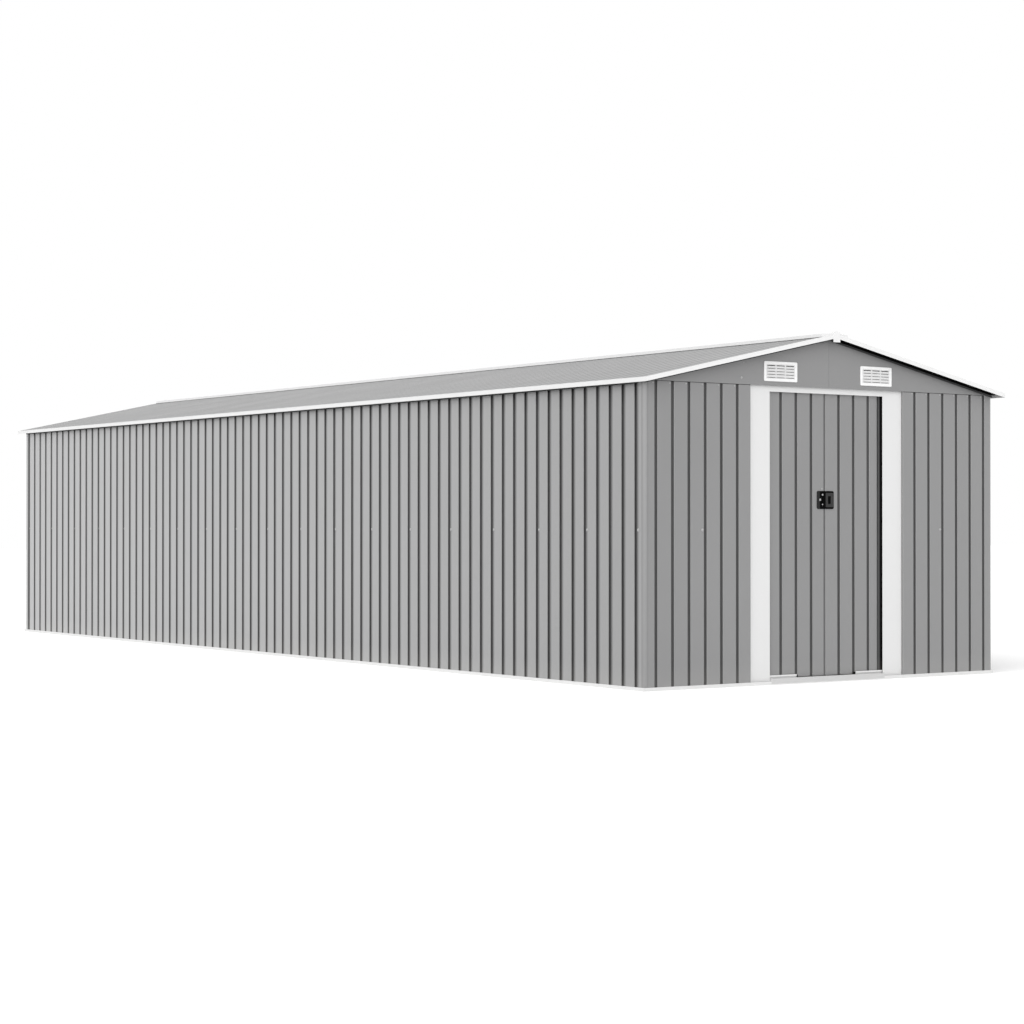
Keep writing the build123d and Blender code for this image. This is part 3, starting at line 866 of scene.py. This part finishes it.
# Arcs of moulded corners, and the least radius that an inset leaves them
ringSizes = {"steps": 5, "leastRadius": 0.0004}


def roundedRing(low, high, radii):
    # Points round a rectangle, one radius for its low-x corners and one for its high-x corners
    ring = []
    corners = ((high[0], high[1], radii[1], 0), (low[0], high[1], radii[0], 90),
               (low[0], low[1], radii[0], 180), (high[0], low[1], radii[1], 270))
    for x, z, radius, start in corners:
        inX = -radius if x == high[0] else radius
        inZ = -radius if z == high[1] else radius
        for i in range(ringSizes["steps"] + 1):
            turn = radians(start + 90 * i / ringSizes["steps"])
            ring.append((x + inX + radius * cos(turn), z + inZ + radius * sin(turn)))
    return ring


def insetRing(low, high, radii, inset):
    return roundedRing((low[0] + inset, low[1] + inset), (high[0] - inset, high[1] - inset),
                       [max(r - inset, ringSizes["leastRadius"]) for r in radii])


def rolledRings(low, high, radii, roll, face, turns):
    # An edge rolled over to the face, one ring for each turn
    return [(insetRing(low, high, radii, roll * (1 - cos(t))), face + roll * (1 - sin(t)))
            for t in turns]


# Louvre vents: a rolled frame round a sunk field of five rows of blades in three columns
vent = {
    "innerEdge": 0.2205,
    "radius": 0.007,
    "roll": 0.0025,
    "rollTurns": (0.5, 1.0, pi / 2),
    "innerRoll": 0.3,
    "frame": 0.015,
    "sunk": 0.0028,
    "fieldLap": 0.002,
    "fieldThick": 0.0012,
    "slotRows": 5,
    "slotColumns": 3,
    "slotWidth": 0.054,
    "topSlot": 0.0044,
    "slotHeight": 0.0030,
    "slotGap": 0.009,
    "firstDrop": 0.0195,
    "rowPitch": 0.0153,
    "bladeReach": 0.0075,
    "bladeThick": 0.0012,
    "bladeDrop": 0.0006,
    "bladeBack": 0.0013,
    "topBladeRise": 0.45,
}


def addCellPlate(shape, xs, zs, open, front, back, place):
    # A flat plate of rectangular cells, some left open; open says which
    grid = {}

    def corner(i, k, y):
        if (i, k, y) not in grid:
            grid[(i, k, y)] = shape.verts.new(place(xs[i], y, zs[k]))
        return grid[(i, k, y)]

    def filled(i, k):
        return 0 <= i < len(xs) - 1 and 0 <= k < len(zs) - 1 and not open(i, k)

    # Each side of a cell: its two corners and the neighbour across it
    sides = (((0, 0), (1, 0), (0, -1)), ((1, 0), (1, 1), (1, 0)),
             ((1, 1), (0, 1), (0, 1)), ((0, 1), (0, 0), (-1, 0)))
    for i in range(len(xs) - 1):
        for k in range(len(zs) - 1):
            if not filled(i, k):
                continue
            for y in (front, back):
                cell = ((0, 0), (1, 0), (1, 1), (0, 1))
                shape.faces.new([corner(i + a, k + b, y) for a, b in cell])
            for (a, b), (c, d), (e, f) in sides:
                if not filled(i + e, k + f):
                    shape.faces.new((corner(i + a, k + b, front), corner(i + c, k + d, front),
                                     corner(i + c, k + d, back), corner(i + a, k + b, back)))


def addVentFrame(shape, a, b, deep, place):
    # Rolled over at both edges
    roll, frame, radii = vent["roll"], vent["frame"], (vent["radius"], vent["radius"])
    inner = roll * vent["innerRoll"]
    rings = [(insetRing(a, b, radii, 0), deep), (insetRing(a, b, radii, 0), roll)]
    rings += rolledRings(a, b, radii, roll, 0, vent["rollTurns"])
    for inset, y in ((frame - roll, 0), (frame - inner, inner), (frame, roll), (frame, deep)):
        rings.append((insetRing(a, b, radii, inset), y))
    loops = [[shape.verts.new(place(x, y, z)) for x, z in ring] for ring, y in rings]
    joinRings(shape, zip(loops, loops[1:] + loops[:1]))


def ventSlots(near, far, top):
    # Where each column of slots starts, and the (top, height) of each row from the lowest up
    wide, gap, columns = vent["slotWidth"], vent["slotGap"], vent["slotColumns"]
    span = columns * wide + (columns - 1) * gap
    starts = [(near + far) / 2 - span / 2 + c * (wide + gap) for c in range(columns)]
    tops = [top - vent["firstDrop"] - r * vent["rowPitch"] for r in range(vent["slotRows"])][::-1]
    heights = [vent["slotHeight"]] * (len(tops) - 1) + [vent["topSlot"]]
    return starts, list(zip(tops, heights))


def addVentField(shape, a, b, place):
    starts, rows = ventSlots(a[0], b[0], b[1])
    wide, frame, lap, sunk = vent["slotWidth"], vent["frame"], vent["fieldLap"], vent["sunk"]
    xs, zs = [a[0] + frame - lap], [a[1] + frame - lap]
    for start in starts:
        xs += [start, start + wide]
    for top, height in rows:
        zs += [top - height, top]
    xs.append(b[0] - frame + lap)
    zs.append(b[1] - frame + lap)
    addCellPlate(shape, xs, zs, lambda i, k: i % 2 == 1 and k % 2 == 1,
                 sunk, sunk + vent["fieldThick"], place)

    # A blade behind each slot, rising from its foot
    front, reach, thick = sunk + vent["bladeBack"], vent["bladeReach"], vent["bladeThick"]
    back = front + reach
    for start in starts:
        for top, height in rows:
            foot = top - height - vent["bladeDrop"]
            rise = height * (vent["topBladeRise"] if top == rows[-1][0] else 1.0)
            profile = [(front, foot), (back, foot + rise), (back, foot + rise - thick),
                       (front, foot - thick)]
            bridgeLoops(shape, [[place(x, y, z) for y, z in profile]
                                for x in (start, start + wide)])


def addVents():
    low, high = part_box("front_vents")
    a, b = (vent["innerEdge"], low[2]), (high[0], high[2])
    for end, sign in (("front", 1), ("rear", -1)):
        shape = bmesh.new()
        for side in (-1, 1):

            def place(x, y, z):
                return Vector((side * x, sign * (low[1] + y), z))

            addVentFrame(shape, a, b, high[1] - low[1], place)
            frameFaces = len(shape.faces)
            addVentField(shape, a, b, place)
            shape.faces.ensure_lookup_table()
            for face in shape.faces[frameFaces:]:
                face.material_index = 1
        addPiece(end + "Louvres", shape, "shed", ["whitePlastic", "ventFieldPaintedShade"],
                 [end + "_vents"])


addVents()
print("vents moulded")

# Door pulls: a rounded plate with a finger slot
pull = {
    "farRadius": 0.009,
    "nearRadius": 0.002,
    "bevel": 0.0018,
    "bevelTurns": (0.4, 0.8, 1.2, pi / 2),
    "slotNear": 0.0175,
    "slotWidth": 0.0190,
    "slotHeight": 0.040,
    "slotRadius": 0.002,
    "slotDepth": 0.0040,
    "slotTaper": 0.0003,
    "lip": 0.0008,
    "rim": 0.0040,
    "rimSlope": 0.001,
    "rimDepth": 0.0010,
    "stripStart": 0.040,
    "endRise": 0.037,
    "reach": 0.0002,
    "lipShare": 0.9,
}


def cutShape(shape, spot, normal):
    everything = list(shape.verts) + list(shape.edges) + list(shape.faces)
    bmesh.ops.bisect_plane(shape, geom=everything, plane_co=spot, plane_no=normal)


def pullRings(low, high, slotLow, slotHigh):
    # From the back over the bevel and the rim, down into the slot
    a, b, face, floor = (low[0], low[2]), (high[0], high[2]), low[1], low[1] + pull["rimDepth"]
    radii, bevel, rim = (pull["nearRadius"], pull["farRadius"]), pull["bevel"], pull["rim"]
    rings = [(insetRing(a, b, radii, 0), high[1]), (insetRing(a, b, radii, 0), face + bevel)]
    rings += rolledRings(a, b, radii, bevel, face, pull["bevelTurns"])
    for inset, y in ((rim, face), (rim + pull["rimSlope"], floor)):
        rings.append((insetRing(a, b, radii, inset), y))
    radii, lip = (pull["slotRadius"], pull["slotRadius"]), pull["lip"]
    for inset, y in ((-lip, floor), (0, floor + lip), (pull["slotTaper"], face + pull["slotDepth"])):
        rings.append((insetRing(slotLow, slotHigh, radii, inset), y))
    return rings


def pickStrip(shape, side):
    # The outer strip of the left pull
    cutShape(shape, (side * pull["stripStart"], 0, 0), (1, 0, 0))
    return [f for f in shape.faces if abs(f.calc_center_median().x) > pull["stripStart"]]


def pickMiddle(shape, middle, slotLow, slotHigh, lipEnd):
    # All of the right pull but its ends and its slot
    for end in (-1, 1):
        cutShape(shape, (0, 0, middle + end * pull["endRise"]), (0, 0, 1))
    near, far = slotLow[0] - pull["reach"], slotHigh[0] + pull["reach"]
    tall = pull["slotHeight"] / 2 + pull["reach"]

    def inSlot(spot):
        return near < spot.x < far and abs(spot.z - middle) < tall and spot.y > lipEnd

    centres = [(f, f.calc_center_median()) for f in shape.faces]
    return [f for f, spot in centres if abs(spot.z - middle) < pull["endRise"] and not inSlot(spot)]


def addPulls():
    low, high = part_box("door_pull_right")
    middle = (low[2] + high[2]) / 2
    slotLow = (pull["slotNear"], middle - pull["slotHeight"] / 2)
    slotHigh = (pull["slotNear"] + pull["slotWidth"], middle + pull["slotHeight"] / 2)
    lipEnd = low[1] + pull["rimDepth"] + pull["lip"] * pull["lipShare"]
    for name, side, second in (("left", -1, "blackStripAndShadowLine"), ("right", 1, "greyPlastic")):
        shape = bmesh.new()
        rings = pullRings(low, high, slotLow, slotHigh)
        bridgeLoops(shape, [[(side * x, y, z) for x, z in ring] for ring, y in rings])
        if name == "left":
            picked = pickStrip(shape, side)
        else:
            picked = pickMiddle(shape, middle, slotLow, slotHigh, lipEnd)
        for face in picked:
            face.material_index = 1
        addPiece("pull." + name, shape, name + "_door", ["blackPlastic", second],
                 ["door_pull_" + name])


addPulls()
print("pulls moulded")

# Screws, true to scale: a washer and a low domed head, each in (radius, height) shares
screw = {
    "head": 0.0042,
    "washer": 0.0062,
    "washerThick": 0.0010,
    "dome": 0.0026,
    "segments": 12,
    "washerShares": [(1.0, 0.0), (1.0, 0.7), (0.94, 1.0)],
    "domeShares": [(1.0, 0.0), (0.92, 0.5), (0.62, 0.88), (0.22, 1.0)],
    "lean": (0.3, 0.2, 0.9),
}


def addScrew(shape, place, out, scale=1.0):
    out = out.normalized()
    across = out.cross(Vector(screw["lean"])).normalized()
    up = out.cross(across)
    head, washer = screw["head"] * scale, screw["washer"] * scale
    thick, dome = screw["washerThick"] * scale, screw["dome"] * scale
    rings = [(washer * r, thick * h) for r, h in screw["washerShares"]]
    rings += [(head * r, thick + dome * h) for r, h in screw["domeShares"]]
    turns = [2 * pi * i / screw["segments"] for i in range(screw["segments"])]
    loops = []
    for radius, height in rings:
        loops.append([place + out * height + across * radius * cos(t) + up * radius * sin(t)
                      for t in turns])
    bridgeLoops(shape, loops)


def addScrewPiece(name, shape, body):
    addPiece(name, shape, body, ["screwZinc"])


# Screws of the walls, each a little to one side of its groove
screwRows = {
    "midHeight": 0.786,
    "midScale": 1.3,
    "midRib": 3,
    "sideLead": 0.022,
    "frontLead": 0.019,
    "topHeight": 1.5085,
    "topScale": 0.8,
    "topRibs": 6,
    "topLead": 0.019,
}

# (x, height, scale) on the front gable, and on the left pull from its middle
gableScrews = [(-0.592, 1.551, 1.1), (-0.577, 1.627, 0.5)]
pullScrews = [(-0.0216, 0.0270, 0.85), (-0.0216, -0.0228, 0.62), (-0.0385, 0.0013, 1.05)]
leafDot = (-0.0216, 0.0570, 0.8)


def addWallScrews():
    w, l, p = sheet["halfWidth"], sheet["halfLength"], sheet["pitch"]
    panel = p * sheet["perPanel"]
    joints = [-l + sheet["sideFlat"] + panel * i for i in range(sheet["sidePanels"] + 1)]
    for name, side in (("left", -1), ("right", 1)):
        shape = bmesh.new()
        for y in joints:
            spot = Vector((side * w, y - screwRows["sideLead"], screwRows["midHeight"]))
            addScrew(shape, spot, Vector((side, 0, 0)), screwRows["midScale"])
        addScrewPiece("sideScrews." + name, shape, "shed")
    ribs = [w - sheet["frontFlat"] - p * i for i in range(screwRows["topRibs"])]
    midRib = ribs[screwRows["midRib"]]
    for end, sign in (("front", -1), ("rear", 1)):
        shape = bmesh.new()
        out = Vector((0, sign, 0))
        for x in ribs + [-x for x in ribs]:
            spot = Vector((x - screwRows["topLead"], sign * l, screwRows["topHeight"]))
            addScrew(shape, spot, out, screwRows["topScale"])
        for x in (midRib, -midRib):
            spot = Vector((x - screwRows["frontLead"], sign * l, screwRows["midHeight"]))
            addScrew(shape, spot, out, screwRows["midScale"])
        addScrewPiece(end + "Screws", shape, "shed")


def addGableScrews():
    face = -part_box("front_gable")[0][1]
    for end, sign in (("front", -1), ("rear", 1)):
        shape = bmesh.new()
        for x, z, scale in gableScrews:
            addScrew(shape, Vector((-sign * x, sign * face, z)), Vector((0, sign, 0)), scale)
        addScrewPiece(end + "GableScrews", shape, "shed")


def addPullScrews():
    low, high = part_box("door_pull_right")
    face, leafFace = low[1] + pull["rimDepth"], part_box("door_leaf_right")[0][1]
    middle = (low[2] + high[2]) / 2
    shape = bmesh.new()
    for y, spots in ((face, pullScrews), (leafFace, [leafDot])):
        for x, z, scale in spots:
            addScrew(shape, Vector((x, y, middle + z)), Vector((0, -1, 0)), scale)
    addScrewPiece("pullScrews", shape, "left_door")


addWallScrews()
addGableScrews()
addPullScrews()
print("screws set")

# Strips at the foot of the doorway: on the sill; white beads on the track lips as a painted
# highlight; and a black block at each lip as painted shade
footStrips = {
    "clear": 0.0002,
    "postGap": 0.0004,
    "sillHeight": 0.0055,
    "sillThick": 0.0012,
    "sillBevel": 0.0004,
    "lipStart": 0.206,
    "beadHeight": 0.009,
    "beadThick": 0.0030,
    "beadFoot": 0.001,
    "beadShoulder": 0.7,
    "beadCrown": 0.5,
    "blockWidth": 0.0100,
    "blockLow": 0.0330,
    "blockHigh": 0.0440,
    "blockBevel": 0.0008,
    "blockInset": 0.6,
}


def addSillEdge():
    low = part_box("door_sill")[0]
    clear, height = footStrips["clear"], footStrips["sillHeight"]
    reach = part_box("door_post_right")[0][0] - footStrips["postGap"]
    back, front = low[1] - clear, low[1] - footStrips["sillThick"] - clear
    profile = [(back, clear), (back, height), (front, height - footStrips["sillBevel"]),
               (front, clear)]
    shape = bmesh.new()
    bridgeLoops(shape, [[(x, y, z) for y, z in profile] for x in (-reach, reach)])
    addPiece("sillEdge", shape, "shed", ["whiteTrim"])


# White beads painted in as the highlight along the top of the track lips
def addLipHighlightBeads():
    low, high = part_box("track_lips")
    thick, tall = footStrips["beadThick"], footStrips["beadHeight"]
    centre, base = low[1] - footStrips["clear"], high[2] - tall
    profile = [(centre, base), (centre - thick, base + footStrips["beadFoot"]),
               (centre - thick, base + tall * footStrips["beadShoulder"]),
               (centre - thick * footStrips["beadCrown"], high[2]), (centre, high[2])]
    shape = bmesh.new()
    for side in (-1, 1):
        bridgeLoops(shape, [[(side * x, y, z) for y, z in profile]
                            for x in (footStrips["lipStart"], high[0])])
    addPiece("lipHighlightBeads", shape, "shed", ["whiteTrim"])


# Black blocks painted in as the shade at the inner end of each track lip
def addLipShadeBlocks():
    low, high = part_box("track_lips")
    start, bevel = footStrips["lipStart"], footStrips["blockBevel"]
    a = (start - footStrips["blockWidth"], footStrips["blockLow"])
    b = (start - footStrips["clear"], footStrips["blockHigh"])
    rings = []
    for inset, y in ((0, high[1]), (0, low[1] + bevel), (bevel * footStrips["blockInset"], low[1])):
        rings.append((insetRing(a, b, (bevel, bevel), inset), y))
    shape = bmesh.new()
    for side in (-1, 1):
        bridgeLoops(shape, [[(side * x, y, z) for x, z in ring] for ring, y in rings])
    addPiece("lipShadeBlocks", shape, "shed", ["blackPlastic"])


addSillEdge()
addLipHighlightBeads()
addLipShadeBlocks()
print("foot strips folded")

# Black strips painted in as shadow lines: under the eave trims, at the feet of the ridge cap and
# under the gables
shadowLine = {
    "thick": 0.0012,
    "gap": 0.0002,
    "eaveInset": 0.0018,
    "eaveTall": 0.0070,
    "eaveLap": 0.004,
    "eaveStartLeft": 0.030,
    "eaveStartRight": 0.090,
    "eaveStop": 0.095,
    "capGap": 0.0004,
    "capRise": 0.0001,
    "capTall": 0.0014,
    "gableTall": 0.0020,
    "gableStart": 0.532,
    "gableEnd": 0.012,
}


def bandProfile(face, thick, start, stop):
    # The four corners of a thin band that stands off a face
    return [(face, start), (face + thick, start), (face + thick, stop), (face, stop)]


def addShadowLines():
    thick, length = shadowLine["thick"], sheet["halfLength"]
    shape = bmesh.new()
    low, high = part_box("eave_trims")
    for side, start in ((-1, shadowLine["eaveStartLeft"]), (1, shadowLine["eaveStartRight"])):
        inner = side * (high[0] - shadowLine["eaveInset"])
        profile = bandProfile(inner, -side * thick, low[2] + shadowLine["eaveLap"],
                              low[2] - shadowLine["eaveTall"])
        bridgeLoops(shape, [[(x, y, z) for x, z in profile]
                            for y in (-length + start, length - shadowLine["eaveStop"])])
    low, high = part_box("ridge_cap")
    for side in (-1, 1):
        foot = low[2] + shadowLine["capRise"]
        profile = bandProfile(side * (high[0] + shadowLine["capGap"]), side * thick,
                              foot, foot + shadowLine["capTall"])
        bridgeLoops(shape, [[(x, y, z) for x, z in profile] for y in (low[1], high[1])])
    low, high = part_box("front_gable")
    top = low[2] - shadowLine["gap"]
    for sign in (-1, 1):
        profile = bandProfile(sign * (length + shadowLine["gap"]), sign * thick,
                              top, top - shadowLine["gableTall"])
        for side in (-1, 1):
            bridgeLoops(shape, [[(side * x, y, z) for y, z in profile]
                                for x in (shadowLine["gableStart"], high[0] - shadowLine["gableEnd"])])
    addPiece("shadowLines", shape, "shed", ["blackStripAndShadowLine"])


# Painted shadow under each end of the roof: a black strip, its fold down the rail, and the dark gable
# lip
gapShadow = {
    "gap": 0.0008,
    "thick": 0.0012,
    "off": 0.0005,
    "start": 0.0005,
    "endInset": 0.004,
    "rakeInset": 0.0125,
    "foldFoot": 0.0190,
    "foldSpan": (0.0002, 0.0010),
    "railStart": 0.0240,
    "railEnd": 1.203,
    "lipTop": 0.0262,
    "lipFoot": 0.0305,
    "lipSpan": (0.0002, 0.0008),
    "tailStart": 1.095,
    "tailTop": 0.0185,
}


def addSlopeStrip(shape, sign, side, ys, drops, xs):
    # A strip that follows the slope of the roof, at two depths below its top
    loops = []
    for x in xs:
        top, foot = roofTop(x) - drops[0], roofTop(x) - drops[1]
        ring = ((ys[0], top), (ys[1], top), (ys[1], foot), (ys[0], foot))
        loops.append([(side * x, sign * y, z) for y, z in ring])
    bridgeLoops(shape, loops)


def addGapShadows():
    gableFace = -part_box("front_gable")[0][1]
    rakeBack = -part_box("rake_trims_front")[0][1] - gapShadow["rakeInset"]
    drop = sheet["depth"] + sheet["skin"] + gapShadow["gap"]
    shadowYs = (gableFace + gapShadow["off"], rakeBack)
    foldYs = [sheet["halfLength"] + off for off in gapShadow["foldSpan"]]
    lipYs = [gableFace + off for off in gapShadow["lipSpan"]]
    railStart, tailStart, railEnd = gapShadow["railStart"], gapShadow["tailStart"], gapShadow["railEnd"]
    gapShadowStrips, lips = bmesh.new(), bmesh.new()
    for sign in (-1, 1):
        for side in (-1, 1):
            addSlopeStrip(gapShadowStrips, sign, side, shadowYs, (drop, drop + gapShadow["thick"]),
                          (gapShadow["start"], sheet["halfWidth"] - gapShadow["endInset"]))
            addSlopeStrip(gapShadowStrips, sign, side, foldYs, (drop, gapShadow["foldFoot"]),
                          (railStart, railEnd))
            addSlopeStrip(lips, sign, side, lipYs, (gapShadow["lipTop"], gapShadow["lipFoot"]),
                          (railStart, tailStart))
            addSlopeStrip(lips, sign, side, lipYs, (gapShadow["tailTop"], gapShadow["lipFoot"]),
                          (tailStart, railEnd))
    addPiece("roofGapShadows", gapShadowStrips, "shed", ["blackPlastic"])
    addPiece("gableShadowLips", lips, "shed", ["railPaintedShade"])


# The lap where the two halves of each gable meet
lap = {"half": 0.0009, "off": 0.0001, "thick": 0.0006, "footRise": 0.001, "topDrop": 0.006}


def addGableLaps():
    low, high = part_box("front_gable")
    half = lap["half"]
    shape = bmesh.new()
    for sign in (-1, 1):
        face = sign * (-low[1] + lap["off"])
        outer = face + sign * lap["thick"]
        profile = [(-half, face), (half, face), (half, outer), (-half, outer)]
        bridgeLoops(shape, [[(x, y, z) for x, y in profile]
                            for z in (low[2] + lap["footRise"], high[2] - lap["topDrop"])])
    addPiece("gableLaps", shape, "shed", ["gableSheet"])


addShadowLines()
addGapShadows()
addGableLaps()
print("seals laid")

# Finishes of the nodes that are carried over, by how their names start
nodeFinishes = {
    "whiteTrim": ["base_rail", "eave", "door_post", "door_lintel"],
    "litWhiteTrim": ["rake", "ridge_cap", "ridge_ends"],
    "paleSill": ["door_sill", "track_lips"],
    "railPaintedShade": ["gable_rails"],
    "gableSheet": ["front_gable", "rear_gable"],
    "zincFrame": ["mid_rail", "top_rail", "ridge_beam", "roof_purlins", "door_track", "leaf_rails"],
    "blackPlastic": ["leaf_runners"],
}


def dressNodes():
    count = 0
    for part in frame["record"]["subparts"]:
        name = part["node"]
        piece = bpy.data.objects.get(name)
        for finish, starts in nodeFinishes.items():
            if name.startswith(tuple(starts)):
                piece.data.materials.clear()
                piece.data.materials.append(finishes[finish])
                count += 1
    print("carried-over parts dressed", count)


dressNodes()
